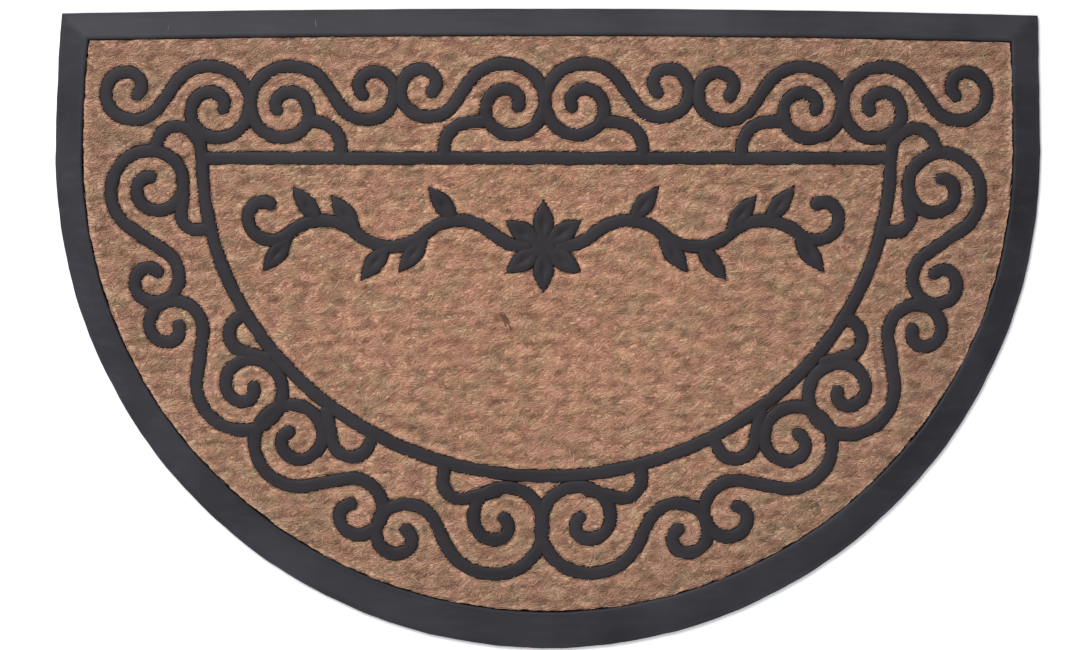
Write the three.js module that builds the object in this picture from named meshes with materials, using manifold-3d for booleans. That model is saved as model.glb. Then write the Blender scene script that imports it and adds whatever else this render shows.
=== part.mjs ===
// Half-round rubber and coir doormat, lying flat.
// Millimetres, +Z up. X runs along the straight back edge and Y from the round front edge to the back.
// The origin is on the floor, under the middle of the mat.

import * as THREE from 'three';
import { mergeVertices } from 'three/addons/utils/BufferGeometryUtils.js';
import Module from 'manifold-3d';

const wasm = await Module();
wasm.setup();

// Outline of the mat: a half circle in front, short sides, and a back edge that bows out a little
const matWidth = 700;
const matDepth = 455;
const frontRadius = matWidth / 2;
const circleY = frontRadius - matDepth / 2;
const backY = matDepth / 2;
const cornerDropLeft = 3.5;
const cornerDropRight = 5;
const sideTuckLeft = 4.5;
const sideTuckRight = 1.5;

// Border of the rubber base, measured inwards from the outline
const borderSide = 20.5;
const borderFront = 27;
const borderBack = 20.3;
const lipHeight = 2.2;
const crestHeight = 9.4;
const crestOuter = 0.84;
const crestInner = 0.95;
const trayFloor = 2.5;

// Coir mat
const gap = 0.3;
const coirTop = 8;
const coirEdgeGap = 1.2;
const coirFray = 0.5;
const frayWaves = [2.3, 0.9];

// Rubber ribs of the scrollwork and the ornament
const ribWidth = 9.1;
const ribTop = 9.2;
const ribBottom = 4.8;
const chordError = 0.7;
const capSteps = 3;

// Inner frame: a straight chord and a half ellipse under it, whose ends run up past the chord
const frameAxis = -1;
const frameHalfWidth = 244;
const frameDepth = 225.5;
const frameSteps = 36;
const chordY = 120.7;
const frameEndRise = 21;
const frameEndLean = 3;

// The scrollwork mirrors about this line, a little left of the middle. Of the three pairs along the
// back, the outer two lie a little lower, and the left scroll of each stands in by leftTuck.
const scrollAxis = -3;
const leftTuck = 2;
const topUnits = [
  { x: -209, drop: 2, feet: [1], lead: 6.5 },
  { x: 0, drop: 0, feet: [1, -1], lead: 11.5 },
  { x: 211, drop: 2.5, feet: [-1], lead: 11.5 },
];

// Each scroll is a straight run with a volute at each end, drawn with compasses as quarter turns whose
// radii shrink evenly, from large or small down to that of the volute's eye. A row holds the middle of
// the run, the heading towards the large volute, the side to which it curls (1 left, -1 right), the
// run's length, and the first radius and the last turn of each volute.
const largeQuarters = 6;
const smallQuarters = 4;
const largeEye = 8;
const smallEye = 9;
const topScroll = {
  x: 60, y: 167, heading: 124, curl: 1, run: 18, large: 30.5, largeEnd: 85, small: 22, smallEnd: 105,
};

// The four pairs round the front, from the back corners to the middle. The mould isn't quite even, so
// right is how far the right-hand one lies off its mirrored place, to the right and to the back.
const borderScrolls = [
  {
    x: -280, y: 62.5, heading: 146, curl: -1, run: 31.5,
    large: 31, largeEnd: 65, small: 20, smallEnd: 105, right: [3.5, -1.5],
  },
  {
    x: -243.5, y: -19.5, heading: -98, curl: 1, run: 30,
    large: 33.5, largeEnd: 115, small: 21.5, smallEnd: 120, right: [3, -3],
  },
  {
    x: -154, y: -109, heading: 191, curl: -1, run: 26.5,
    large: 32, largeEnd: 80, small: 23, smallEnd: 95, right: [0, -1.5],
  },
  {
    x: -73, y: -145, heading: -66, curl: 1, run: 14,
    large: 38.5, largeEnd: 120, small: 24, smallEnd: 125, right: [-2, 0.5],
  },
];

// A foot ties a volute to the inner frame: a straight lead, one bend and a straight tail
const topFoot = { x: 42.5, y: 147, heading: -5, curl: -1, radius: 18, turn: 85, tail: 6 };
const borderFeet = [
  { x: -276, y: 127, heading: 68, curl: -1, lead: 8, radius: 14.5, turn: 118, tail: 8, right: [3.5, -1.5] },
  { x: -255, y: 96, heading: -97, curl: 1, lead: 14, radius: 11, turn: 102, tail: 7, right: [3.5, -1.5] },
  { x: -196, y: -21, heading: 165, curl: -1, lead: 18, radius: 13, turn: 130, tail: 7, right: [3, -3] },
  { x: -154, y: -59, heading: -78, curl: 1, lead: 22, radius: 13.5, turn: 140, tail: 8, right: [0, -1.5] },
  { x: -33, y: -115, heading: 194, curl: -1, lead: 23, radius: 13, turn: 109, tail: 10, right: [-2, 0.5] },
];

// Leafy sprig in the middle of the field: a waved stem each way from a rosette
const sprigY = 58;
const stemStart = 12;
const stemWave = { radius: 36, turn: 84, halfWaves: 3 };
const stemCurl = { first: 18, eye: 9, quarters: 3, end: 80 };
const rosette = { boss: 9, petalAngles: [35, 90, 145, 215, 270, 325], length: 33, width: 15 };
const leaf = { length: 35, width: 13.5, spread: 52, tuck: 3 };
const leafSteps = 4;
const bossSteps = 24;

const rubberColour = 0x3a3538;
const borderColour = 0x403f45;
const coirColour = 0x9f7963;

const degrees = Math.PI / 180;

// Points of the mat's outline, anticlockwise, moved inwards by a share of the border's width
function matRing(insetAt) {
  const points = [];
  const add = (place) => {
    const inset = insetAt(points.length);
    points.push(place(borderSide * inset, borderFront * inset, borderBack * inset));
  };
  const frontSteps = 72;
  for (let i = 0; i <= frontSteps; i += 1) {
    const angle = Math.PI + Math.PI * i / frontSteps;
    add((side, front) => [
      (frontRadius - side) * Math.cos(angle),
      circleY + (frontRadius - front) * Math.sin(angle),
    ]);
  }
  const sideSteps = 6;
  const backSteps = 36;
  const backLine = (t) => {
    const drop = t < 0.5 ? cornerDropRight : cornerDropLeft;
    return backY - drop * (2 * t - 1) ** 2;
  };
  for (let i = 1; i < sideSteps; i += 1) {
    const t = i / sideSteps;
    add((side, front, back) => [
      frontRadius - side - sideTuckRight * t * t,
      circleY + t * (backLine(0) - back - circleY),
    ]);
  }
  for (let i = 0; i <= backSteps; i += 1) {
    const t = i / backSteps;
    add((side, front, back) => {
      const right = frontRadius - side - sideTuckRight;
      const left = -frontRadius + side + sideTuckLeft;
      return [right + t * (left - right), backLine(t) - back];
    });
  }
  for (let i = sideSteps - 1; i > 0; i -= 1) {
    const t = i / sideSteps;
    add((side, front, back) => [
      -frontRadius + side + sideTuckLeft * t * t,
      circleY + t * (backLine(1) - back - circleY),
    ]);
  }
  return points;
}

// A closed surface through rings of equal length: the first is capped below and the last above
function ringSurface(rings) {
  const count = rings[0].points.length;
  const position = rings.flatMap(({ points, z }) => points.flatMap(([x, y]) => [x, y, z]));
  const index = [];
  for (let k = 0; k + 1 < rings.length; k += 1) {
    for (let i = 0; i < count; i += 1) {
      const a = k * count + i;
      const b = k * count + (i + 1) % count;
      index.push(a, b, b + count, a, b + count, a + count);
    }
  }
  const cap = (k, flip) => {
    const contour = rings[k].points.map(([x, y]) => new THREE.Vector2(x, y));
    for (const [a, b, c] of THREE.ShapeUtils.triangulateShape(contour, [])) {
      const face = flip ? [c, b, a] : [a, b, c];
      index.push(...face.map((i) => i + k * count));
    }
  };
  cap(0, true);
  cap(rings.length - 1, false);
  const geometry = new THREE.BufferGeometry();
  geometry.setAttribute('position', new THREE.Float32BufferAttribute(position, 3));
  geometry.setIndex(index);
  return geometry;
}

// A line that goes on from its last point by straight lengths and tangent arcs
function extendLine(points, heading, curl, bends) {
  let [x, y] = points[points.length - 1];
  let angle = heading * degrees;
  const step = (length, direction) => {
    x += length * Math.cos(direction);
    y += length * Math.sin(direction);
    points.push([x, y]);
  };
  for (const { straight, radius, turn } of bends) {
    if (straight) {
      step(straight, angle);
      continue;
    }
    const widest = 2 * Math.acos(1 - chordError / radius);
    const steps = Math.ceil(turn * degrees / widest);
    const part = turn * degrees / steps;
    for (let i = 0; i < steps; i += 1) {
      step(2 * radius * Math.sin(part / 2), angle + curl * part / 2);
      angle += curl * part;
    }
  }
  return points;
}

// Quarter turns whose radii shrink evenly from the first to the eye's, the last one turned by lastTurn
function volute(first, eye, quarters, lastTurn) {
  const bends = [];
  for (let i = 0; i < quarters; i += 1) {
    const radius = first + (eye - first) * i / (quarters - 1);
    bends.push({ radius, turn: i === quarters - 1 ? lastTurn : 90 });
  }
  return bends;
}

function scrollLine({ x, y, heading, curl, run, large, largeEnd, small, smallEnd }) {
  const half = { straight: run / 2 };
  const largeVolute = volute(large, largeEye, largeQuarters, largeEnd);
  const smallVolute = volute(small, smallEye, smallQuarters, smallEnd);
  const first = extendLine([[x, y]], heading, curl, [half, ...largeVolute]);
  const second = extendLine([[x, y]], heading + 180, curl, [half, ...smallVolute]);
  return [...first.slice(1).reverse(), ...second.slice(1)];
}

function footLine({ x, y, heading, curl, lead, radius, turn, tail }) {
  return extendLine([[x, y]], heading, curl, [{ straight: lead }, { radius, turn }, { straight: tail }]);
}

function placed(line, side, axis, height = 0) {
  return line.map(([x, y]) => [axis + side * x, height + y]);
}

// Outline of a rib of even width along a line, with round ends
function ribOutline(line, halfWidth) {
  const last = line.length - 1;
  const headingAt = (i) => {
    const [ax, ay] = line[Math.max(i - 1, 0)];
    const [bx, by] = line[Math.min(i + 1, last)];
    return Math.atan2(by - ay, bx - ax);
  };
  const offset = (i, angle) => [
    line[i][0] + halfWidth * Math.cos(angle),
    line[i][1] + halfWidth * Math.sin(angle),
  ];
  const right = line.map((point, i) => offset(i, headingAt(i) - Math.PI / 2));
  const left = line.map((point, i) => offset(i, headingAt(i) + Math.PI / 2));
  const cap = (i, start) => {
    const points = [];
    for (let k = 1; k < capSteps; k += 1) {
      points.push(offset(i, start + Math.PI * k / capSteps));
    }
    return points;
  };
  const endCap = cap(last, headingAt(last) - Math.PI / 2);
  const startCap = cap(0, headingAt(0) + Math.PI / 2);
  return [...right, ...endCap, ...left.reverse(), ...startCap];
}

// Pointed leaf between two equal arcs, from its base point along a heading
function leafOutline(x, y, heading, length, width) {
  const along = [Math.cos(heading * degrees), Math.sin(heading * degrees)];
  const points = [];
  const edge = (i, side) => {
    const t = i / leafSteps;
    const out = side * width / 2 * Math.sin(Math.PI * t);
    const on = t * length;
    points.push([x + along[0] * on - along[1] * out, y + along[1] * on + along[0] * out]);
  };
  for (let i = 0; i <= leafSteps; i += 1) edge(i, -1);
  for (let i = leafSteps - 1; i > 0; i -= 1) edge(i, 1);
  return points;
}

function ringOutline(x, y, radius, steps) {
  const points = [];
  for (let i = 0; i < steps; i += 1) {
    const angle = 2 * Math.PI * i / steps;
    points.push([x + radius * Math.cos(angle), y + radius * Math.sin(angle)]);
  }
  return points;
}

function toSolid(geometry) {
  const plain = geometry.clone();
  plain.deleteAttribute('normal');
  plain.deleteAttribute('uv');
  const merged = mergeVertices(plain, 1e-4);
  const mesh = new wasm.Mesh({
    numProp: 3,
    vertProperties: new Float32Array(merged.attributes.position.array),
    triVerts: new Uint32Array(merged.index.array),
  });
  return new wasm.Manifold(mesh);
}

function toGeometry(solid) {
  const mesh = solid.getMesh();
  const geometry = new THREE.BufferGeometry();
  geometry.setAttribute('position', new THREE.BufferAttribute(mesh.vertProperties, 3));
  geometry.setIndex(new THREE.BufferAttribute(mesh.triVerts, 1));
  geometry.computeVertexNormals();
  return geometry;
}

// One solid of many outlines, all raised between the same two heights
function raisedSolid(outlines, bottom, top) {
  const solids = outlines.map((outline) => {
    const shape = new THREE.Shape(outline.map(([x, y]) => new THREE.Vector2(x, y)));
    const geometry = new THREE.ExtrudeGeometry(shape, { depth: top - bottom, bevelEnabled: false });
    geometry.translate(0, 0, bottom);
    return toSolid(geometry);
  });
  return solids.reduce((sum, solid) => sum.add(solid));
}

// Lines of the scrollwork: three pairs along the back, four pairs round the front, feet and frame
function scrollworkLines() {
  const lines = [];
  const top = scrollLine(topScroll);
  for (const { x, drop, feet, lead } of topUnits) {
    const foot = footLine({ lead, ...topFoot });
    const axis = scrollAxis + x;
    lines.push(placed(top, 1, axis, -drop), placed(top, -1, axis + leftTuck, -drop));
    for (const side of feet) lines.push(placed(foot, side, axis));
  }
  for (const side of [1, -1]) {
    const place = (line, [off, up]) => {
      lines.push(side > 0 ? placed(line, 1, scrollAxis) : placed(line, -1, scrollAxis + off, up));
    };
    for (const row of borderScrolls) place(scrollLine(row), row.right);
    for (const row of borderFeet) place(footLine(row), row.right);
    const end = [[frameHalfWidth, 0], [frameHalfWidth + frameEndLean, frameEndRise]];
    lines.push(placed(end, side, frameAxis, chordY));
  }
  const frame = [];
  for (let i = 0; i <= frameSteps; i += 1) {
    const angle = Math.PI + Math.PI * i / frameSteps;
    frame.push([frameHalfWidth * Math.cos(angle), frameDepth * Math.sin(angle)]);
  }
  const chord = [[-frameHalfWidth, 0], [frameHalfWidth, 0]];
  lines.push(placed(frame, 1, frameAxis, chordY), placed(chord, 1, frameAxis, chordY));
  return lines;
}

// Stem of the sprig's right half: it leaves the rosette level, waves, and ends in a curl
function stemLine() {
  const { radius, turn, halfWaves } = stemWave;
  let line = extendLine([[stemStart, 0]], 0, 1, [{ radius, turn: turn / 2 }]);
  let heading = turn / 2;
  let curl = -1;
  for (let i = 0; i < halfWaves; i += 1) {
    line = extendLine(line, heading, curl, [{ radius, turn }]);
    heading += curl * turn;
    curl = -curl;
  }
  const { first, eye, quarters, end } = stemCurl;
  return extendLine(line, heading, curl, volute(first, eye, quarters, end));
}

// Leaves of the sprig's right half: one on each crest or hollow of the stem, and one just past it
function leafOutlines(extra) {
  const { radius, turn, halfWaves } = stemWave;
  const chord = 2 * radius * Math.sin(turn / 2 * degrees);
  const rise = radius * (1 - Math.cos(turn / 2 * degrees));
  const size = [leaf.length + 2 * extra, leaf.width + 2 * extra];
  const outlines = [];
  for (let i = 0; i < halfWaves; i += 1) {
    const side = i % 2 === 0 ? 1 : -1;
    const x = stemStart + (i + 1) * chord;
    const crestY = rise + side * (rise - leaf.tuck);
    outlines.push(leafOutline(x, crestY, side * leaf.spread, ...size));
    outlines.push(leafOutline(x + chord / 2 - leaf.tuck, rise, -side * leaf.spread, ...size));
  }
  return outlines;
}

function sprigOutlines(extra) {
  const half = ribWidth / 2 + extra;
  const outlines = [];
  for (const side of [1, -1]) {
    outlines.push(ribOutline(placed(stemLine(), side, scrollAxis, sprigY), half));
    for (const outline of leafOutlines(extra)) {
      outlines.push(placed(outline, side, scrollAxis, sprigY));
    }
  }
  for (const angle of rosette.petalAngles) {
    const size = [rosette.length + 2 * extra, rosette.width + 2 * extra];
    outlines.push(leafOutline(scrollAxis, sprigY, angle, ...size));
  }
  outlines.push(ringOutline(scrollAxis, sprigY, rosette.boss + extra, bossSteps));
  return outlines;
}

function rubberBase() {
  return ringSurface([
    { points: matRing(() => 0), z: 0 },
    { points: matRing(() => 0), z: lipHeight },
    { points: matRing(() => crestOuter), z: crestHeight },
    { points: matRing(() => crestInner), z: crestHeight },
    { points: matRing(() => 1), z: trayFloor },
  ]);
}

function coirField(channels) {
  const inset = 1 + coirEdgeGap / borderSide;
  const fray = coirFray / borderSide;
  const wander = (i) => frayWaves.reduce((sum, wave) => sum + fray * Math.sin(wave * i), inset);
  const sheet = ringSurface([
    { points: matRing(wander), z: trayFloor + gap },
    { points: matRing(wander), z: coirTop },
  ]);
  return toGeometry(toSolid(sheet).subtract(channels));
}

function part(name, geometry, colour, roughness) {
  const material = new THREE.MeshStandardMaterial({ color: colour, roughness, metalness: 0 });
  const mesh = new THREE.Mesh(geometry, material);
  mesh.name = name;
  return mesh;
}

const lines = scrollworkLines();
const ribs = lines.map((line) => ribOutline(line, ribWidth / 2));
const ribChannels = lines.map((line) => ribOutline(line, ribWidth / 2 + gap));
const network = raisedSolid(ribs, ribBottom, ribTop);
const sprig = raisedSolid(sprigOutlines(0), ribBottom, ribTop);
const channels = raisedSolid([...ribChannels, ...sprigOutlines(gap)], ribBottom - gap, ribTop);

const doormat = new THREE.Group();
doormat.add(part('rubber_base', rubberBase(), borderColour, 0.6));
doormat.add(part('coir_field', coirField(channels), coirColour, 0.95));
doormat.add(part('scroll_network', toGeometry(network), rubberColour, 0.6));
doormat.add(part('centre_sprig', toGeometry(sprig), rubberColour, 0.6));

export default doormat;
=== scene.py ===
import math

import bpy
import numpy as np
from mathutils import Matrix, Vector
from mathutils.bvhtree import BVHTree


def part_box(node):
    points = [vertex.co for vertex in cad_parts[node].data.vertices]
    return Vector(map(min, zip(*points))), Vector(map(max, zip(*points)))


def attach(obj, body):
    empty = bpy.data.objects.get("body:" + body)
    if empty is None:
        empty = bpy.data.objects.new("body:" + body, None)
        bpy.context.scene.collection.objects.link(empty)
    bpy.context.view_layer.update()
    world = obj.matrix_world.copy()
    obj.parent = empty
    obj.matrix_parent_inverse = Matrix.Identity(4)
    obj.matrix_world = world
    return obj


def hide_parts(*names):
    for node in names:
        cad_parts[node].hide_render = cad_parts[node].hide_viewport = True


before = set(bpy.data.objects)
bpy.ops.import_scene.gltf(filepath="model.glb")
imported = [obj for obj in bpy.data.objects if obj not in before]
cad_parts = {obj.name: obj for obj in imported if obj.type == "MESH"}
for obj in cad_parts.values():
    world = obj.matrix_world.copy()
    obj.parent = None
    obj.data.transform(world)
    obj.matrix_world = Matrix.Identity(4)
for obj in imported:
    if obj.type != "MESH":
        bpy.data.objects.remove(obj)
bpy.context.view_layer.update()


# Rubber base. One moulding of black rubber with a flat underside, a thin lip and a bevelled border,
# whose crest stands round a shallow tray for the coir. The two back corners are mitred in the mould.
# Lengths are in mm unless a comment says otherwise, and times mm they are Blender's metres.
mm = 0.001
base_low, base_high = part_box("rubber_base")
mat_width = (base_high[0] - base_low[0]) / mm
mat_depth = (base_high[1] - base_low[1]) / mm
crest_height = base_high[2] / mm
front_radius = mat_width / 2
circle_y = front_radius - mat_depth / 2
back_y = mat_depth / 2

# How far the back line falls off at its ends, and how far the sides lean in there
corner_drop_left = 3.5
corner_drop_right = 5
side_tuck_left = 4.5
side_tuck_right = 1.5

border_side = 20.5
border_front = 27
border_back = 20.3
tray_floor = 2.5

# The outline's faint waves: the first one's height, then how many of each go round the mat, and its
# share of that height
border_unevenness = 0.15
edge_waves = [(17, 1), (41, 0.7), (73, 0.5), (117, 0.4)]


def back_line(x):
    drop = np.where(x > 0, corner_drop_right, corner_drop_left)
    return back_y - drop * (x / front_radius) ** 2


def mat_ring(inset, front_steps=220, side_steps=22, back_steps=110, unevenness=0.0):
    """The mat's outline, anticlockwise in mm, moved in by a share of the border's width."""
    side = border_side * inset
    angle = np.linspace(math.pi, 2 * math.pi, front_steps + 1)
    front_x = (front_radius - side) * np.cos(angle)
    front_y = circle_y + (front_radius - border_front * inset) * np.sin(angle)
    rise = np.linspace(0, 1, side_steps + 1)
    right_x = front_radius - side - side_tuck_right * rise**2
    left_x = -front_radius + side + side_tuck_left * rise**2
    right_back = back_line(np.array(right_x[-1])) - border_back * inset
    left_back = back_line(np.array(left_x[-1])) - border_back * inset
    right_y = circle_y + rise * (right_back - circle_y)
    left_y = circle_y + rise * (left_back - circle_y)
    back_x = np.linspace(right_x[-1], left_x[-1], back_steps + 1)
    back = back_line(back_x) - border_back * inset
    x = np.concatenate([front_x, right_x[1:-1], back_x, left_x[-2:0:-1]])
    y = np.concatenate([front_y, right_y[1:-1], back, left_y[-2:0:-1]])
    around = np.linspace(0, 2 * math.pi, len(x), endpoint=False)
    waver = sum(share * np.sin(count * around + count) for count, share in edge_waves)
    shrink = 1 - unevenness * waver / front_radius
    return list(zip(x * shrink, circle_y + (y - circle_y) * shrink))


def ring_solid(name, rings):
    """A closed solid in metres through rings of equal length, capped at the first and the last."""
    count = len(rings[0][0])
    points = [(x * mm, y * mm, z * mm) for ring, z in rings for x, y in ring]
    faces = [tuple(reversed(range(count)))]
    for k in range(len(rings) - 1):
        low = k * count
        for i in range(count):
            j = (i + 1) % count
            faces.append((low + i, low + j, low + count + j, low + count + i))
    faces.append(tuple(range((len(rings) - 1) * count, len(rings) * count)))
    mesh = bpy.data.meshes.new(name)
    mesh.from_pydata(points, [], faces)
    piece = bpy.data.objects.new(name, mesh)
    bpy.context.collection.objects.link(piece)
    return piece


def only(piece):
    """Selects one piece and nothing else, so that an operator works on it alone."""
    bpy.ops.object.select_all(action="DESELECT")
    piece.select_set(True)
    bpy.context.view_layer.objects.active = piece


def smooth(piece, angle):
    only(piece)
    bpy.ops.object.shade_smooth_by_angle(angle=math.radians(angle))


# Across the border, as shares of its width and heights: the lip's edge, then its top up over the
# crest and down to the tray
lip_edge = [(0.03, 0), (0.008, 0.12), (0, 0.45), (0, 1.65), (0.008, 1.95)]
border_top = [
    (0.03, 2.1), (0.105, 2.2), (0.135, 2.4), (0.17, 2.85), (0.3, 4.15), (0.45, 5.6), (0.6, 7.0),
    (0.72, 8.1), (0.785, 8.7), (0.83, 9.1), (0.87, 9.34), (0.905, crest_height), (0.935, 9.32),
    (0.96, 9.0), (0.972, 8.5), (0.985, 5.5), (0.998, 3.1), (1.012, 2.65), (1.04, tray_floor),
]
border_rings = []
for inset, height in lip_edge + border_top:
    ring = mat_ring(inset, unevenness=border_unevenness * min(1, height))
    border_rings.append((ring, height))
rubber_base = ring_solid("rubber_border", border_rings)
smooth(rubber_base, 40)


def new_group(name, inputs, outputs):
    """A shader node group with named sockets. Inputs are name: default, outputs name: socket kind."""
    group = bpy.data.node_groups.new(name, "ShaderNodeTree")
    for title, value in inputs.items():
        kind = "NodeSocketColor" if isinstance(value, tuple) else "NodeSocketFloat"
        socket = group.interface.new_socket(title, in_out="INPUT", socket_type=kind)
        socket.default_value = value
    for title, kind in outputs.items():
        group.interface.new_socket(title, in_out="OUTPUT", socket_type=kind)
    group.nodes.new("NodeGroupInput")
    group.nodes.new("NodeGroupOutput")
    return group


def set_inputs(tree, node, inputs):
    """Sets a node's inputs, given as plain values or as sockets to link from."""
    for key, value in inputs.items():
        if isinstance(value, bpy.types.NodeSocket):
            tree.links.new(value, node.inputs[key])
        else:
            node.inputs[key].default_value = value


def add_node(tree, kind, inputs, **settings):
    node = tree.nodes.new(kind)
    for title, value in settings.items():
        setattr(node, title, value)
    set_inputs(tree, node, inputs)
    return node


def object_place(tree):
    return add_node(tree, "ShaderNodeTexCoord", {}).outputs["Object"]


def noise(tree, place, scale, detail):
    inputs = {"Vector": place, "Scale": scale, "Detail": detail}
    return add_node(tree, "ShaderNodeTexNoise", inputs).outputs[0]


def spread(tree, value, low, high, start=0.0, end=1.0):
    """Values from low to high spread out to run from start to end, and held there beyond."""
    inputs = {"Value": value, "From Min": low, "From Max": high, "To Min": start, "To Max": end}
    return add_node(tree, "ShaderNodeMapRange", inputs).outputs[0]


def maths(tree, operation, *values, clamp=False):
    settings = {"operation": operation, "use_clamp": clamp}
    return add_node(tree, "ShaderNodeMath", dict(enumerate(values)), **settings).outputs[0]


def bump(tree, height, distance):
    return add_node(tree, "ShaderNodeBump", {"Height": height, "Distance": distance * mm}).outputs[0]


def blend_colours(tree, share, first, second, mode="MIX"):
    inputs = {0: share, 6: first, 7: second}
    return add_node(tree, "ShaderNodeMix", inputs, data_type="RGBA", blend_type=mode).outputs[2]


# Rubber's moulded grain: a fine crumb, soft ripples from the mould, and a dull bloom with pale scuffs
rubber_grain = new_group(
    "moulded rubber",
    {"Colour": (0.05, 0.05, 0.05, 1), "Bloom": (0.1, 0.1, 0.1, 1), "Bloom amount": 0.3, "Roughness": 0.6},
    {"Colour": "NodeSocketColor", "Roughness": "NodeSocketFloat", "Height": "NodeSocketFloat"},
)
grain_in = rubber_grain.nodes["Group Input"].outputs
grain_place = object_place(rubber_grain)
crumb = noise(rubber_grain, grain_place, 900, 3)
ripple = noise(rubber_grain, grain_place, 60, 4)
bloom_cloud = spread(rubber_grain, noise(rubber_grain, grain_place, 14, 5), 0.35, 0.7)
long_map = add_node(rubber_grain, "ShaderNodeMapping", {"Vector": grain_place, "Scale": (0.16, 1, 1)})
scuffs = spread(rubber_grain, noise(rubber_grain, long_map.outputs[0], 170, 4), 0.5, 0.75)
bloom_sum = maths(rubber_grain, "MULTIPLY_ADD", scuffs, 0.45, bloom_cloud, clamp=True)
bloom_share = maths(rubber_grain, "MULTIPLY", bloom_sum, grain_in["Bloom amount"])
dulled = maths(rubber_grain, "MULTIPLY_ADD", bloom_share, 0.2, grain_in["Roughness"], clamp=True)
grain_parts = {
    "Colour": blend_colours(rubber_grain, bloom_share, grain_in["Colour"], grain_in["Bloom"]),
    "Roughness": dulled,
    "Height": maths(rubber_grain, "MULTIPLY_ADD", ripple, 2.5, crumb),
}
set_inputs(rubber_grain, rubber_grain.nodes["Group Output"], grain_parts)


def new_material(name):
    material = bpy.data.materials.new(name)
    material.use_nodes = True
    return material, material.node_tree, material.node_tree.nodes["Principled BSDF"]


def rubber_material(name, colour, bloom, amount, roughness):
    material, tree, shader = new_material(name)
    grain_inputs = {"Colour": colour, "Bloom": bloom, "Bloom amount": amount, "Roughness": roughness}
    grain = add_node(tree, "ShaderNodeGroup", grain_inputs, node_tree=rubber_grain).outputs
    surface = {
        "Base Color": grain["Colour"],
        "Roughness": grain["Roughness"],
        "Normal": bump(tree, grain["Height"], 0.12),
        "Specular IOR Level": 0.25,
    }
    set_inputs(tree, shader, surface)
    return material


def paint(piece, material):
    """Gives a piece one material all over, in place of any that joining it has left."""
    piece.data.materials.clear()
    piece.data.materials.append(material)
    piece.data.polygons.foreach_set("material_index", [0] * len(piece.data.polygons))


border_rubber = rubber_material(
    "border_rubber", (0.0118, 0.0115, 0.0158, 1), (0.042, 0.041, 0.051, 1), 0.5, 0.55
)
paint(rubber_base, border_rubber)
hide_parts("rubber_base")
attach(rubber_base, "root")


# Scrollwork. Ribs of the same rubber, moulded in one run with the base and pressed up through the
# coir: a half-round frame with a chord, and S-scrolls in mirrored pairs, tied to it by short feet.
rib_low, rib_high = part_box("scroll_network")
rib_bottom = rib_low[2] / mm
rib_top = rib_high[2] / mm
rib_half_width = 4.55
rib_waver = 0.22
arc_step = 6
rib_step = 2.6

# The frame: a half ellipse below its chord, whose two ends run on up past the chord
frame_axis = -1
frame_half_width = 244
frame_depth = 225.5
frame_steps = 120
chord_y = 120.7
frame_end_rise = 21
frame_end_lean = 3

# The line that the scrolls are mirrored about, a little left of the mat's middle
scroll_axis = -3

# Pairs of scrolls along the back: middle, drop, sides with a foot, and the straight lead of that foot.
# The left scroll of each pair is tucked in towards the right one.
top_units = [(-209, 2, (1,), 6.5), (0, 0, (1, -1), 11.5), (211, 2.5, (-1,), 11.5)]
left_tuck = 2

# Each scroll: middle of its straight run, heading to the large volute, curl, run, then the first radius
# and the last turn of the large volute and of the small one. Round the front, the last pair of numbers
# is how far the right-hand one lies off its mirrored place, as the mould isn't quite even.
large_quarters = 6
small_quarters = 4
large_eye = 8
small_eye = 9
top_scroll = (60, 167, 124, 1, 18, 30.5, 85, 22, 105)
border_scrolls = [
    ((-280, 62.5, 146, -1, 31.5, 31, 65, 20, 105), (3.5, -1.5)),
    ((-243.5, -19.5, -98, 1, 30, 33.5, 115, 21.5, 120), (3, -3)),
    ((-154, -109, 191, -1, 26.5, 32, 80, 23, 95), (0, -1.5)),
    ((-73, -145, -66, 1, 14, 38.5, 120, 24, 125), (-2, 0.5)),
]

# Each foot: start, heading, curl, straight lead, radius and turn of its bend, straight tail
top_foot = {"x": 42.5, "y": 147, "heading": -5, "curl": -1, "radius": 18, "turn": 85, "tail": 6}
border_feet = [
    ((-276, 127, 68, -1, 8, 14.5, 118, 8), (3.5, -1.5)),
    ((-255, 96, -97, 1, 14, 11, 102, 7), (3.5, -1.5)),
    ((-196, -21, 165, -1, 18, 13, 130, 7), (3, -3)),
    ((-154, -59, -78, 1, 22, 13.5, 140, 8), (0, -1.5)),
    ((-33, -115, 194, -1, 23, 13, 109, 10), (-2, 0.5)),
]


def extend_line(points, heading, curl, bends):
    """Goes on from the last point by arcs (radius, turn in degrees) and straights (None, length)."""
    x, y = points[-1]
    angle = math.radians(heading)
    for radius, turn in bends:
        steps = 1 if radius is None else math.ceil(turn / arc_step)
        part = 0 if radius is None else math.radians(turn) / steps
        length = turn if radius is None else 2 * radius * math.sin(part / 2)
        for _ in range(steps):
            x += length * math.cos(angle + curl * part / 2)
            y += length * math.sin(angle + curl * part / 2)
            angle += curl * part
            points.append((x, y))
    return points


def volute(first, eye, quarters, last_turn):
    """Quarter turns whose radii shrink evenly to the eye's, the last one turned by last_turn."""
    radii = np.linspace(first, eye, quarters)
    return [(radius, 90) for radius in radii[:-1]] + [(radii[-1], last_turn)]


def scroll_line(x, y, heading, curl, run, large, large_end, small, small_end):
    half = [(None, run / 2)]
    large_volute = volute(large, large_eye, large_quarters, large_end)
    small_volute = volute(small, small_eye, small_quarters, small_end)
    first = extend_line([(x, y)], heading, curl, half + large_volute)
    second = extend_line([(x, y)], heading + 180, curl, half + small_volute)
    return first[:0:-1] + second[1:]


def foot_line(x, y, heading, curl, lead, radius, turn, tail):
    return extend_line([(x, y)], heading, curl, [(None, lead), (radius, turn), (None, tail)])


def placed(line, side, axis, height=0.0):
    return [(axis + side * x, height + y) for x, y in line]


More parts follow.
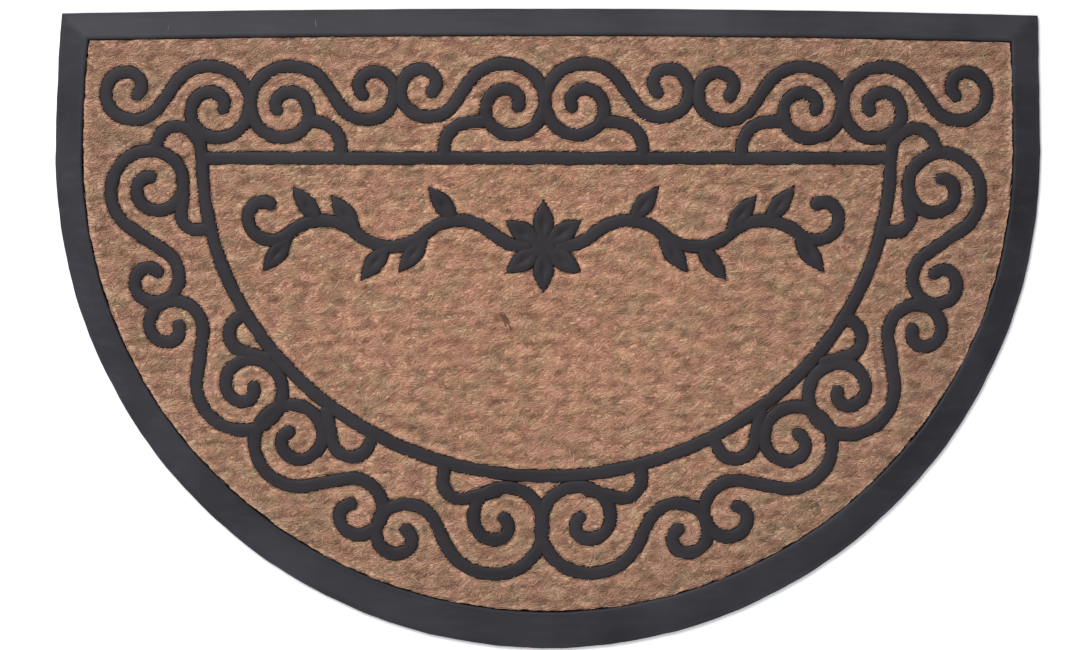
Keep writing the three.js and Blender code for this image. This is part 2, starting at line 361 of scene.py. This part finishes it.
def scrollwork_lines():
    lines = []
    for x, drop, feet, lead in top_units:
        axis = scroll_axis + x
        lines.append(placed(scroll_line(*top_scroll), 1, axis, -drop))
        lines.append(placed(scroll_line(*top_scroll), -1, axis + left_tuck, -drop))
        for side in feet:
            lines.append(placed(foot_line(lead=lead, **top_foot), side, axis))
    rows = [(scroll_line(*row), right) for row, right in border_scrolls]
    rows += [(foot_line(*row), right) for row, right in border_feet]
    for line, (off, up) in rows:
        lines.append(placed(line, 1, scroll_axis))
        lines.append(placed(line, -1, scroll_axis + off, up))
    end = [(frame_half_width, 0), (frame_half_width + frame_end_lean, frame_end_rise)]
    lines += [placed(end, side, frame_axis, chord_y) for side in (1, -1)]
    angles = np.linspace(math.pi, 2 * math.pi, frame_steps + 1)
    curve = list(zip(frame_half_width * np.cos(angles), frame_depth * np.sin(angles)))
    chord = [(-frame_half_width, 0), (frame_half_width, 0)]
    lines += [placed(line, 1, frame_axis, chord_y) for line in (curve, chord)]
    return [stepped(line) for line in lines]


def stepped(line):
    """The same line in short even steps, so that its width can waver."""
    path = np.array(line)
    run = np.concatenate([[0], np.cumsum(np.linalg.norm(np.diff(path, axis=0), axis=1))])
    places = np.linspace(0, run[-1], max(2, round(run[-1] / rib_step)) + 1)
    return list(zip(np.interp(places, run, path[:, 0]), np.interp(places, run, path[:, 1])))


def soft_noise(x, y, waves):
    """Smooth unevenness from -1 to 1 or so: a sum of ripples (wavelength, direction, phase)."""
    total = np.zeros(np.shape(x))
    for wavelength, direction, phase in waves:
        run = x * math.cos(direction) + y * math.sin(direction)
        total += np.sin(2 * math.pi * run / wavelength + phase)
    return total / math.sqrt(len(waves))


def ripples(count, shortest, longest):
    """Random waves for soft_noise, with wavelengths from shortest to longest in mm."""
    return [
        (chance.uniform(shortest, longest), chance.uniform(0, math.pi), chance.uniform(0, 2 * math.pi))
        for _ in range(count)
    ]


# One seed for all that is uneven or scattered in this script
chance = np.random.default_rng(11)
left_ripples = ripples(9, 9, 32)
right_ripples = ripples(9, 9, 32)


def rib_outline(line, half_width, cap_steps=8):
    """Outline of a rib along a line, with round ends and edges that waver a little."""
    path = np.array(line)
    ahead = np.vstack([path[1:], path[-1:]])
    behind = np.vstack([path[:1], path[:-1]])
    heading = np.arctan2((ahead - behind)[:, 1], (ahead - behind)[:, 0])
    quarter = math.pi / 2

    def offset(i, angle, waves):
        reach = half_width + rib_waver * soft_noise(*path[i], waves)
        return (path[i][0] + reach * math.cos(angle), path[i][1] + reach * math.sin(angle))

    def cap(i, start):
        turns = [math.pi * k / cap_steps for k in range(1, cap_steps)]
        return [offset(i, start + turn, left_ripples) for turn in turns]

    last = len(path) - 1
    outline = [offset(i, heading[i] - quarter, right_ripples) for i in range(last + 1)]
    outline += cap(last, heading[last] - quarter)
    outline += [offset(i, heading[i] + quarter, left_ripples) for i in range(last, -1, -1)]
    return outline + cap(0, heading[0] + quarter)


def ordered(outline):
    """The outline, turned round if it runs clockwise, as a mirrored one does."""
    points = np.array(outline)
    following = np.roll(points, -1, axis=0)
    area = np.sum(points[:, 0] * following[:, 1] - following[:, 0] * points[:, 1])
    return outline if area > 0 else outline[::-1]


# How far the rib's side stands in, and how far its top lies down, from foot to crown
rib_profile = [(0, None), (0.05, 1.6), (0.25, 1.0), (0.7, 0.58), (1.4, 0.28), (2.4, 0.08), (3.6, 0)]


def raised_rib(name, outline_at):
    rings = []
    for inset, down in rib_profile:
        height = rib_bottom if down is None else rib_top - down
        rings.append((ordered(outline_at(-inset)), height))
    return ring_solid(name, rings)


def boolean(piece, tool, operation):
    """Joins or cuts a piece with a tool, which is used up."""
    modifier = piece.modifiers.new(operation, "BOOLEAN")
    modifier.operation = operation
    modifier.solver = "MANIFOLD"
    modifier.object = tool
    only(piece)
    bpy.ops.object.modifier_apply(modifier=modifier.name)
    bpy.data.meshes.remove(tool.data)
    return piece


def joined(pieces, name):
    while len(pieces) > 1:
        pairs = zip(pieces[::2], pieces[1::2])
        left_over = pieces[-1:] if len(pieces) % 2 else []
        pieces = [boolean(first, second, "UNION") for first, second in pairs] + left_over
    pieces[0].name = name
    pieces[0].data.name = name
    return pieces[0]


def rib_along(name, line):
    return raised_rib(name, lambda extra: rib_outline(line, rib_half_width + extra))


rib_lines = scrollwork_lines()
scrollwork = joined([rib_along("rib", line) for line in rib_lines], "rubber_scrollwork")
smooth(scrollwork, 35)
rib_rubber = rubber_material(
    "rib_rubber", (0.0124, 0.0102, 0.0130, 1), (0.040, 0.035, 0.041, 1), 0.35, 0.6
)
paint(scrollwork, rib_rubber)
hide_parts("scroll_network")
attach(scrollwork, "root")


# Leafy sprig in the middle of the field, moulded in the same rubber: a waved stem each way from a
# rosette, with pointed leaves whose veins are pressed in.
sprig_y = 58
stem_start = 12
stem_radius = 36
stem_turn = 84
stem_half_waves = 3

# The curl at the stem's end, as a volute: first and last radius, quarters, and last turn
stem_curl = (18, 9, 3, 80)
leaf_length = 35
leaf_width = 13.5
leaf_spread = 52
leaf_tuck = 3
thinnest_leaf = 0.25
petal_angles = [35, 90, 145, 215, 270, 325]
petal_length = 33
petal_width = 15
boss_radius = 9


def stem_line():
    line = extend_line([(stem_start, 0)], 0, 1, [(stem_radius, stem_turn / 2)])
    heading = stem_turn / 2
    curl = -1
    for _ in range(stem_half_waves):
        line = extend_line(line, heading, curl, [(stem_radius, stem_turn)])
        heading += curl * stem_turn
        curl = -curl
    return stepped(extend_line(line, heading, curl, volute(*stem_curl)))


def leaf_outline(x, y, heading, length, width, extra, steps=14):
    """Pointed leaf between two equal arcs, grown or shrunk by extra all round."""
    along = np.array([math.cos(math.radians(heading)), math.sin(math.radians(heading))])
    across = np.array([-along[1], along[0]])
    tip_extra = extra * length / width
    half = max(width / 2 + extra, thinnest_leaf)
    t = np.linspace(0, 1, steps + 1)
    on = -tip_extra + t * (length + 2 * tip_extra)
    out = half * np.sin(math.pi * t)
    right = np.array([x, y]) + on[:, None] * along - out[:, None] * across
    left = np.array([x, y]) + on[:, None] * along + out[:, None] * across
    return [tuple(p) for p in right] + [tuple(p) for p in left[-2:0:-1]]


def sprig_leaves():
    """Foot point, heading, length and width of each leaf and petal."""
    chord = 2 * stem_radius * math.sin(math.radians(stem_turn / 2))
    rise = stem_radius * (1 - math.cos(math.radians(stem_turn / 2)))
    leaves = []
    for i in range(stem_half_waves):
        side = 1 if i % 2 == 0 else -1
        x = stem_start + (i + 1) * chord
        crest_y = rise + side * (rise - leaf_tuck)
        leaves.append((x, crest_y, side * leaf_spread, leaf_length, leaf_width))
        leaves.append((x + chord / 2 - leaf_tuck, rise, -side * leaf_spread, leaf_length, leaf_width))
    mirrored = [(-x, y, 180 - heading, length, width) for x, y, heading, length, width in leaves]
    petals = [(0, 0, angle, petal_length, petal_width) for angle in petal_angles]
    return [(scroll_axis + x, sprig_y + y, *rest) for x, y, *rest in leaves + mirrored + petals]


# A leaf's crown: it rounds up from its edge and falls again to the vein along its middle
leaf_profile = [
    (0, None), (0.1, 1.5), (0.35, 0.8), (0.9, 0.33), (1.8, 0.06), (3.0, 0), (4.6, 0.12), (5.6, 0.5),
    (6.4, 0.9),
]


def veined_leaf(name, leaf):
    rings = []
    for inset, down in leaf_profile:
        height = rib_bottom if down is None else rib_top - down
        rings.append((leaf_outline(*leaf, -inset), height))
    return ring_solid(name, rings)


def round_outline(x, y, radius, steps=40):
    angles = [2 * math.pi * i / steps for i in range(steps)]
    return [(x + radius * math.cos(angle), y + radius * math.sin(angle)) for angle in angles]


def boss_outline(extra):
    return round_outline(scroll_axis, sprig_y, boss_radius + extra)


stems = [placed(stem_line(), side, scroll_axis, sprig_y) for side in (1, -1)]
sprig_parts = [rib_along("stem", line) for line in stems]
sprig_parts += [veined_leaf("leaf", leaf) for leaf in sprig_leaves()]
sprig_parts.append(raised_rib("boss", boss_outline))
sprig = joined(sprig_parts, "rubber_sprig")
smooth(sprig, 35)
paint(sprig, rib_rubber)
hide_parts("centre_sprig")
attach(sprig, "root")


# Coir sheet. Woven coconut fibre, cut to a half round, laid in the tray and held by the rubber that
# comes up through it. Bundles pass over and under each other in a basket weave, brushed soft on top.
coir_low, coir_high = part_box("coir_field")
coir_bottom = coir_low[2] / mm
coir_top = coir_high[2] / mm
coir_middle = [(coir_low[i] + coir_high[i]) / 2 / mm for i in range(2)]

# The sheet's flat size, in metres as the frame has it
coir_flat = (coir_high[0] - coir_low[0], coir_high[1] - coir_low[1])
coir_inset = 1.004
coir_gap = 0.3
above_all = 3 * coir_top
sheet_step = 1.75
spare_cells = 8

# Against a rib the sheet is pressed down, and a little away from it the sheet swells up
press_depth = 0.9
press_reach = 0.9
swell_height = 0.3
swell_place = 2.6
swell_reach = 1.4

# Bundles sway from straight lines, lie over one row and show a little lower where they pass under
bundle_length = 20.6
bundle_width = 10.2
bundle_sway = 1.6
row_sway = 1.1
over_narrowing = 1.25
under_narrowing = 2.6
under_height = 0.55
weave_relief = 0.65
sway_ripples = ripples(7, 45, 160)

# The pile lies this way, in degrees, in uneven tufts that are drawn out along it
pile_heading = 24
tuft_relief = 0.28
tuft_stretch = 2.3
tuft_ripples = ripples(18, 4.5, 13)


def tufts(x, y):
    """Uneven tufts, from -1 to 1 or so, drawn out along the way the pile lies."""
    turn = math.radians(pile_heading)
    along = x * math.cos(turn) + y * math.sin(turn)
    across = y * math.cos(turn) - x * math.sin(turn)
    return soft_noise(along / tuft_stretch, across, tuft_ripples)


def weave_height(x, y):
    """Relief of the weave, from 0 in the hollows to 1 on the bundles."""
    across_rows = (y + row_sway * soft_noise(y, x, sway_ripples)) / bundle_width
    row = np.floor(across_rows)
    v = across_rows - row - 0.5
    along_row = (x + bundle_sway * soft_noise(x, y, sway_ripples)) / bundle_length / 2 + row / 2
    u = along_row - np.floor(along_row) - 0.5
    over = np.clip(np.cos(math.pi * u * over_narrowing), 0, 1) ** 0.6 * np.cos(math.pi * v) ** 0.5
    under = np.clip(np.cos(math.pi * (0.5 - np.abs(u)) * under_narrowing), 0, 1) ** 0.6
    return np.maximum(over, under_height * under)


def coir_height(x, y):
    return coir_top - weave_relief + weave_relief * weave_height(x, y) + tuft_relief * tufts(x, y)


rubber_above = [
    BVHTree.FromObject(piece, bpy.context.evaluated_depsgraph_get()) for piece in (scrollwork, sprig)
]


def rubber_distance(x, y, reach=6.0, depth=0.6):
    """How far each point, at a depth below the sheet's top, lies from the nearest rib, up to reach."""
    found = []
    for px, py in zip(x, y):
        point = Vector((px * mm, py * mm, (coir_top - depth) * mm))
        near = [tree.find_nearest(point, reach * mm)[3] for tree in rubber_above]
        found.append(min([reach * mm] + [d for d in near if d is not None]) / mm)
    return np.array(found)


columns = int(coir_flat[0] / mm / sheet_step) + spare_cells
rows = int(coir_flat[1] / mm / sheet_step) + spare_cells
bpy.ops.object.select_all(action="DESELECT")
bpy.ops.mesh.primitive_grid_add(x_subdivisions=columns, y_subdivisions=rows, size=2)
coir_sheet = bpy.context.object
coir_sheet.name = "coir_sheet"
coir_sheet.data.name = "coir_sheet"
corner = np.empty(len(coir_sheet.data.vertices) * 3)
coir_sheet.data.vertices.foreach_get("co", corner)
corner = corner.reshape(-1, 3)
sheet_x = coir_middle[0] + corner[:, 0] * columns * sheet_step / 2
sheet_y = coir_middle[1] + corner[:, 1] * rows * sheet_step / 2
away = rubber_distance(sheet_x, sheet_y)
pressed = press_depth * np.exp(-((away / press_reach) ** 2))
swollen = swell_height * np.exp(-(((away - swell_place) / swell_reach) ** 2))
sheet_z = coir_height(sheet_x, sheet_y) + (swollen - pressed)
coir_sheet.data.vertices.foreach_set("co", (np.stack([sheet_x, sheet_y, sheet_z], axis=1) * mm).ravel())
only(coir_sheet)
bpy.ops.object.mode_set(mode="EDIT")
bpy.ops.mesh.select_all(action="SELECT")
bpy.ops.mesh.region_to_loop()
bpy.ops.mesh.extrude_edges_move(TRANSFORM_OT_translate={"value": (0, 0, -coir_top * mm)})
bpy.ops.mesh.edge_face_add()
bpy.ops.mesh.select_all(action="SELECT")
bpy.ops.mesh.normals_make_consistent(inside=False)
bpy.ops.object.mode_set(mode="OBJECT")

# The cut edge frays: its outline wanders in and out by up to a millimetre
fray_middle = 0.2
fray_scatter = 0.16
fray_wander = 0.4
edge_x, edge_y = np.array(mat_ring(coir_inset, front_steps=620, side_steps=70, back_steps=380)).T
along_edge = np.arange(len(edge_x))
wander = soft_noise(along_edge, along_edge, ripples(9, 7, 34))
fray = fray_middle + chance.normal(0, fray_scatter, len(edge_x)) + fray_wander * wander
shrink = 1 - fray / front_radius
edge = list(zip(edge_x * shrink, circle_y + (edge_y - circle_y) * shrink))
boolean(coir_sheet, ring_solid("cut", [(edge, coir_bottom), (edge, above_all)]), "INTERSECT")


def channel(outline):
    outline = ordered(outline)
    return ring_solid("channel", [(outline, rib_bottom - coir_gap), (outline, above_all)])


channel_half_width = rib_half_width + coir_gap
channels = [channel(rib_outline(line, channel_half_width, cap_steps=4)) for line in rib_lines + stems]
channels += [channel(leaf_outline(*leaf, coir_gap)) for leaf in sprig_leaves()]
channels.append(channel(round_outline(scroll_axis, sprig_y, boss_radius + coir_gap)))
boolean(coir_sheet, joined(channels, "channels"), "DIFFERENCE")
smooth(coir_sheet, 50)


def colour_ramp(tree, share, stops):
    """Colours along a share from 0 to 1, given as (place, colour) in rising order."""
    node = add_node(tree, "ShaderNodeValToRGB", {"Fac": share})
    marks = node.color_ramp.elements
    marks[0].position, marks[0].color = stops[0]
    marks[1].position, marks[1].color = stops[-1]
    for position, colour in stops[1:-1]:
        marks.new(position).color = colour
    return node.outputs[0]


# Each strand has its own tone, between husk brown and pale gold, over patches that lean to pink,
# orange or olive
# The darkest brown: painted shade in the hollows and along the edge blends towards it, and so does a husk
# strand's own colour
husk_and_shade_brown = (0.055, 0.026, 0.019, 1)
strand_tones = [(0, (0.16, 0.088, 0.06, 1)), (0.5, (0.50, 0.307, 0.22, 1)), (1, (0.80, 0.57, 0.43, 1))]
patch_tones = [
    (0.34, (0.40, 0.42, 0.22, 1)), (0.5, (0.61, 0.42, 0.255, 1)), (0.68, (0.63, 0.37, 0.29, 1)),
]
coir_tint = new_group("coir tint", {"Tone": 0.5, "Depth": 0.0}, {"Colour": "NodeSocketColor"})
tint_in = coir_tint.nodes["Group Input"].outputs
tint_place = object_place(coir_tint)
toned = colour_ramp(coir_tint, tint_in["Tone"], strand_tones)
patches = colour_ramp(coir_tint, noise(coir_tint, tint_place, 75, 3), patch_tones)
patched = blend_colours(coir_tint, 0.32, toned, patches, "OVERLAY")

# Broad clouds, some 5 cm across, where the pile is a little paler or darker
pale_share = spread(coir_tint, noise(coir_tint, tint_place, 19, 1), 0.32, 0.68)
dark_cloud = blend_colours(coir_tint, 1.0, patched, (0.92, 0.91, 0.90, 1), "MULTIPLY")
clouded = blend_colours(coir_tint, pale_share, dark_cloud, patched)

# Painted shade: the pile is darker near the mat's edges, under the raised border, than in its middle
edge_shade_map = {"Vector": tint_place, "Location": (0.06, -0.1, 0), "Scale": (3.2, 4.4, 0)}
edge_shade_at = {"Vector": add_node(coir_tint, "ShaderNodeMapping", edge_shade_map).outputs[0]}
edge_shade_gradient = add_node(coir_tint, "ShaderNodeTexGradient", edge_shade_at, gradient_type="SPHERICAL").outputs[0]
edge_shaded = blend_colours(coir_tint, 1.0, clouded, (0.80, 0.83, 0.86, 1), "MULTIPLY")
edge_shade_blend = blend_colours(coir_tint, spread(coir_tint, edge_shade_gradient, 0.0, 0.7), edge_shaded, clouded)
# Painted shade, and a husk strand's own dark colour, blend the pile towards dark brown
shade_and_husk_blend = blend_colours(coir_tint, tint_in["Depth"], edge_shade_blend, husk_and_shade_brown)
set_inputs(coir_tint, coir_tint.nodes["Group Output"], {"Colour": shade_and_husk_blend})


def tinted(tree, tone, depth):
    """The coir's colour for a strand of that tone, darkened by depth, which holds painted shade and a husk
    strand's own darkness.
    """
    return add_node(tree, "ShaderNodeGroup", {"Tone": tone, "Depth": depth}, node_tree=coir_tint).outputs[0]


# The matting's strands run a little askew, and painted shade darkens it the lower it lies, in the weave's
# hollows and where it is pressed down against the rubber
hollow_floor = (coir_top - 1.6) * mm
hollow_top = (coir_top - 0.25) * mm
coir_matting, tree, shader = new_material("coir_matting")
matting_place = object_place(tree)
strand_map = {"Vector": matting_place, "Rotation": (0, 0, math.radians(-22)), "Scale": (0.22, 1, 1)}
strands = noise(tree, add_node(tree, "ShaderNodeMapping", strand_map).outputs[0], 1500, 4)
height_above = add_node(tree, "ShaderNodeSeparateXYZ", {"Vector": matting_place}).outputs["Z"]
matting_shade = spread(tree, height_above, hollow_floor, hollow_top, start=0.85, end=0.1)
surface = {
    "Base Color": tinted(tree, spread(tree, strands, 0.3, 0.7), matting_shade),
    "Normal": bump(tree, strands, 0.6),
    "Roughness": 0.9,
    "Specular IOR Level": 0.15,
}
set_inputs(tree, shader, surface)
paint(coir_sheet, coir_matting)
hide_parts("coir_field")
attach(coir_sheet, "root")


# Brushed pile. The ends and loops of the coir's own fibres, which stand out of the weave all over
# and lie mostly one way, dipping back into the sheet or against the rubber.
pile_pieces = 4
pile_count = 12400
pile_reach = 0.98
brushed_share = 0.72
brushed_scatter = 26
pile_length = (7, 15)
pile_bend = 1.1
pile_radius = (0.24, 0.42)
pile_lift = 0.6
pile_dip = 0.35

# Where a fibre's four points lie along it, from its middle, as shares of its length
fibre_stations = np.array([-0.5, -0.17, 0.17, 0.5])

# A fibre's tone follows the tufts, and painted shade darkens it over the weave's hollows and along the
# mat's edge, in the dark groove by the border
tone_middle = 0.5
tone_by_tufts = 0.11
tone_scatter = 0.08
hollow_level = 0.6
deepest_hollow_shade = 0.4
edge_shade = 0.4
edge_share = 0.04

coir_fibre, tree, shader = new_material("coir_fibre")
tone = add_node(tree, "ShaderNodeAttribute", {}, attribute_name="tone").outputs["Fac"]
# The depth attribute carries each fibre's painted shade, and a husk strand's own darkness
depth = add_node(tree, "ShaderNodeAttribute", {}, attribute_name="depth").outputs["Fac"]
flecks = noise(tree, object_place(tree), 2200, 2)
surface = {
    "Base Color": tinted(tree, tone, depth),
    "Normal": bump(tree, flecks, 0.1),
    "Roughness": 0.75,
    "Specular IOR Level": 0.25,
}
set_inputs(tree, shader, surface)


def inside_mat(x, y, inset):
    """Whether a point lies inside the mat's outline moved in by a share of the border's width."""
    half = front_radius - border_side * inset
    depth = front_radius - border_front * inset
    in_front = (x / half) ** 2 + ((y - circle_y) / depth) ** 2 < 1
    rise = (y - circle_y) / (back_y - circle_y)
    tuck = np.where(x > 0, side_tuck_right, side_tuck_left) * rise**2
    at_back = (np.abs(x) < half - tuck) & (y < back_line(x) - border_back * inset)
    return np.where(y < circle_y, in_front, at_back)


def under_rubber(x, y):
    """Whether a rib, leaf or stem covers each point."""
    covered = []
    down = Vector((0, 0, -1))
    for px, py in zip(x, y):
        start = Vector((px * mm, py * mm, above_all * mm))
        covered.append(any(tree.ray_cast(start, down)[0] is not None for tree in rubber_above))
    return np.array(covered)


def fibre_piece(name, paths, radii, material, **attributes):
    """Closed three-sided hairs along paths (fibre, station, xyz), pointed at both ends."""
    count, stations, _ = paths.shape
    run = paths[:, -1] - paths[:, 0]
    run /= np.linalg.norm(run, axis=1)[:, None]
    side = np.stack([-run[:, 1], run[:, 0], np.zeros(count)], axis=1)
    side /= np.linalg.norm(side, axis=1)[:, None]
    up = np.cross(run, side)
    corners = [paths[:, :1]]
    for k in range(1, stations - 1):
        ring = []
        for turn in (90, 210, 330):
            offset = math.cos(math.radians(turn)) * side + math.sin(math.radians(turn)) * up
            ring.append(paths[:, k] + offset * radii[:, None])
        corners.append(np.stack(ring, axis=1))
    corners.append(paths[:, -1:])
    points = np.concatenate(corners, axis=1)
    per_fibre = points.shape[1]
    triangles = []
    for i in range(3):
        j = (i + 1) % 3
        triangles.append((0, 1 + j, 1 + i))
        for k in range(stations - 3):
            low = 1 + 3 * k
            triangles.append((low + i, low + j, low + 3 + j))
            triangles.append((low + i, low + 3 + j, low + 3 + i))
        top = 1 + 3 * (stations - 3)
        triangles.append((top + i, top + j, per_fibre - 1))
    triangles = np.array(triangles)
    loops = (triangles[None] + (np.arange(count) * per_fibre)[:, None, None]).ravel()
    mesh = bpy.data.meshes.new(name)
    mesh.vertices.add(count * per_fibre)
    mesh.vertices.foreach_set("co", (points * mm).ravel())
    mesh.loops.add(len(loops))
    mesh.loops.foreach_set("vertex_index", loops.astype(np.int32))
    mesh.polygons.add(len(loops) // 3)
    mesh.polygons.foreach_set("loop_start", np.arange(0, len(loops), 3, dtype=np.int32))
    mesh.polygons.foreach_set("use_smooth", np.ones(len(loops) // 3, dtype=bool))
    for title, values in attributes.items():
        attribute = mesh.attributes.new(title, "FLOAT", "POINT")
        attribute.data.foreach_set("value", np.repeat(values, per_fibre).astype(np.float32))
    mesh.update(calc_edges=True)
    mesh.validate()
    piece = bpy.data.objects.new(name, mesh)
    bpy.context.collection.objects.link(piece)
    paint(piece, material)
    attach(piece, "root")
    return piece


def fibre_plan(x, y, heading, length, bend):
    """Fibres seen from above (fibre, station), with headings in radians, each bowed by its bend."""
    stations = fibre_stations[None] * length[:, None]
    bow = bend[:, None] * (1 - 4 * fibre_stations[None] ** 2)
    path_x = x[:, None] + stations * np.cos(heading)[:, None] - bow * np.sin(heading)[:, None]
    path_y = y[:, None] + stations * np.sin(heading)[:, None] + bow * np.cos(heading)[:, None]
    return path_x, path_y


def pile_plan(count):
    """Fibres (fibre, station, xy) at random places over the sheet and off the rubber, seen from above."""
    found = []
    while sum(len(part) for part in found) < count:
        x = chance.uniform(coir_low[0] / mm, coir_high[0] / mm, count)
        y = chance.uniform(coir_low[1] / mm, coir_high[1] / mm, count)
        is_brushed = chance.random(count) < brushed_share
        brushed = chance.normal(pile_heading, brushed_scatter, count)
        heading = np.radians(np.where(is_brushed, brushed, chance.uniform(0, 180, count)))
        length = chance.uniform(*pile_length, count)
        bend = chance.normal(0, pile_bend, count)
        plan_x, plan_y = fibre_plan(x, y, heading, length, bend)
        inner = np.all(inside_mat(plan_x, plan_y, pile_reach), axis=1)
        plan = np.stack([plan_x, plan_y], axis=2)[inner]

        # The two middle points of a fibre are clear of the rubber, and its ends may dip against it
        for k in (1, 2):
            plan = plan[~under_rubber(plan[:, k, 0], plan[:, k, 1])]
        found.append(plan)
    return np.concatenate(found)[:count]


def lying(plan_x, plan_y, lift):
    """Paths of fibres that lie on the coir, raised by lift at each station."""
    return np.stack([plan_x, plan_y, coir_height(plan_x, plan_y) + lift], axis=2)


for number in range(1, pile_pieces + 1):
    plan = pile_plan(pile_count)
    lift = chance.uniform(0.0, pile_lift, pile_count)[:, None] * np.array([0, 1, 1, 0])
    dip = pile_dip * np.array([1, 0, 0, 1])
    paths = lying(plan[:, :, 0], plan[:, :, 1], lift - dip)
    middle_x, middle_y = plan[:, 1:3].mean(axis=1).T
    scatter = chance.normal(0, tone_scatter, pile_count)
    tones = np.clip(tone_middle + tone_by_tufts * tufts(middle_x, middle_y) + scatter, 0, 1)
    # Painted shade over the weave's hollows and in the groove along the mat's edge
    hollow_shade = np.clip(hollow_level - weave_height(middle_x, middle_y), 0, deepest_hollow_shade)
    in_edge_shade = ~inside_mat(middle_x, middle_y, coir_inset + edge_share)
    painted_shade = hollow_shade + edge_shade * in_edge_shade
    radii = chance.uniform(*pile_radius, pile_count)
    fibre_piece(f"coir_pile_{number}", paths, radii, coir_fibre, tone=tones, depth=painted_shade)

# A tuft of dark husk left in the yarn, near the middle of the mat
husk_count = 26
husk_place = (-30, 5.5)
husk_turn = math.radians(115)
husk_scatter_along = 2.6
husk_scatter_across = 0.9
husk_scatter_turn = 0.2
husk_length = (4, 7)
husk_tone = (0.05, 0.25)
husk_depth = 0.55
husk_radius = 0.34
husk_lift = np.array([0.4, 1.0, 1.0, 0.4])
husk_along = chance.normal(0, husk_scatter_along, husk_count)
husk_across = chance.normal(0, husk_scatter_across, husk_count)
husk_x = husk_place[0] + husk_along * math.cos(husk_turn) - husk_across * math.sin(husk_turn)
husk_y = husk_place[1] + husk_along * math.sin(husk_turn) + husk_across * math.cos(husk_turn)
husk_turns = husk_turn + chance.normal(0, husk_scatter_turn, husk_count)
husk_lengths = chance.uniform(*husk_length, husk_count)
husk_plan = fibre_plan(husk_x, husk_y, husk_turns, husk_lengths, np.zeros(husk_count))
husk_paths = lying(*husk_plan, husk_lift)
husk_radii = np.full(husk_count, husk_radius)
husk_tones = chance.uniform(*husk_tone, husk_count)
husk_depths = np.full(husk_count, husk_depth)
husk_tuft = fibre_piece(
    "husk_tuft", husk_paths, husk_radii, coir_fibre, tone=husk_tones, depth=husk_depths
)


# Stray fibres. Single long hairs of the coir that have worked loose, and lie bleached on the border's
# slope along the back.
bleached_fibre, tree, shader = new_material("bleached_fibre")
bleaching = noise(tree, object_place(tree), 700, 2)
bleached = blend_colours(tree, bleaching, (0.13, 0.15, 0.16, 1), (0.26, 0.27, 0.28, 1))
set_inputs(tree, shader, {"Base Color": bleached, "Roughness": 0.75})

# Each one's place, heading and length
stray_places = np.array([(-269, 213.1, 84, 6.5), (-164.6, 216.3, 96, 10)])
stray_radius = 0.2
stray_x, stray_y, stray_heading, stray_length = stray_places.T
stray_bend = np.zeros(len(stray_places))
plan_x, plan_y = fibre_plan(stray_x, stray_y, np.radians(stray_heading), stray_length, stray_bend)
border_share = (back_line(plan_x) - plan_y) / border_back
plan_z = np.interp(border_share, *np.array(border_top).T) + stray_radius
stray_paths = np.stack([plan_x, plan_y, plan_z], axis=2)
fibre_piece("stray_fibres", stray_paths, np.full(len(stray_places), stray_radius), bleached_fibre)


# Studio. A plain white floor, a large soft light from behind on the left, a weak one from the front, an
# even fill all round, and the camera straight above the mat, as it was photographed.
floor_size = 6000
floor_drop = 0.5
bpy.ops.object.select_all(action="DESELECT")
bpy.ops.mesh.primitive_plane_add(size=floor_size * mm, location=(0, 0, -floor_drop * mm))
floor = bpy.context.object
floor.name = "floor"
floor_paint, tree, shader = new_material("floor_paint")
floor_noise = noise(tree, object_place(tree), 3, 2)
floor_colour = blend_colours(tree, floor_noise, (0.9, 0.9, 0.9, 1), (0.93, 0.93, 0.93, 1))
set_inputs(tree, shader, {"Base Color": floor_colour, "Roughness": 0.9})
paint(floor, floor_paint)


def soft_light(name, place, size, watts):
    """A round soft light at a place in metres, turned to the mat."""
    light = bpy.data.lights.new(name, "AREA")
    light.shape = "DISK"
    light.size = size
    light.energy = watts
    lamp = bpy.data.objects.new(name, light)
    lamp.location = place
    lamp.rotation_euler = (-Vector(place)).to_track_quat("-Z", "Y").to_euler()
    bpy.context.collection.objects.link(lamp)


soft_light("key", (-1.5, 2.6, 2.6), size=2.4, watts=165)
soft_light("fill", (-1.3, -2.9, 1.9), size=2.4, watts=48)

world = bpy.data.worlds.new("studio")
world.use_nodes = True
sky = world.node_tree.nodes["Background"]
set_inputs(world.node_tree, sky, {"Color": (0.96, 0.98, 1, 1), "Strength": 0.57})
bpy.context.scene.world = world

# The picture's middle and its width, measured on the mat
picture_middle = (-5.5, 2.4)
picture_width = 767
camera_data = bpy.data.cameras.new("camera")
camera_data.lens = 85
camera = bpy.data.objects.new("camera", camera_data)
camera_height = picture_width * camera_data.lens / camera_data.sensor_width + crest_height / 2
camera.location = (picture_middle[0] * mm, picture_middle[1] * mm, camera_height * mm)
bpy.context.collection.objects.link(camera)
bpy.context.scene.camera = camera
bpy.context.scene.view_settings.view_transform = "Standard"
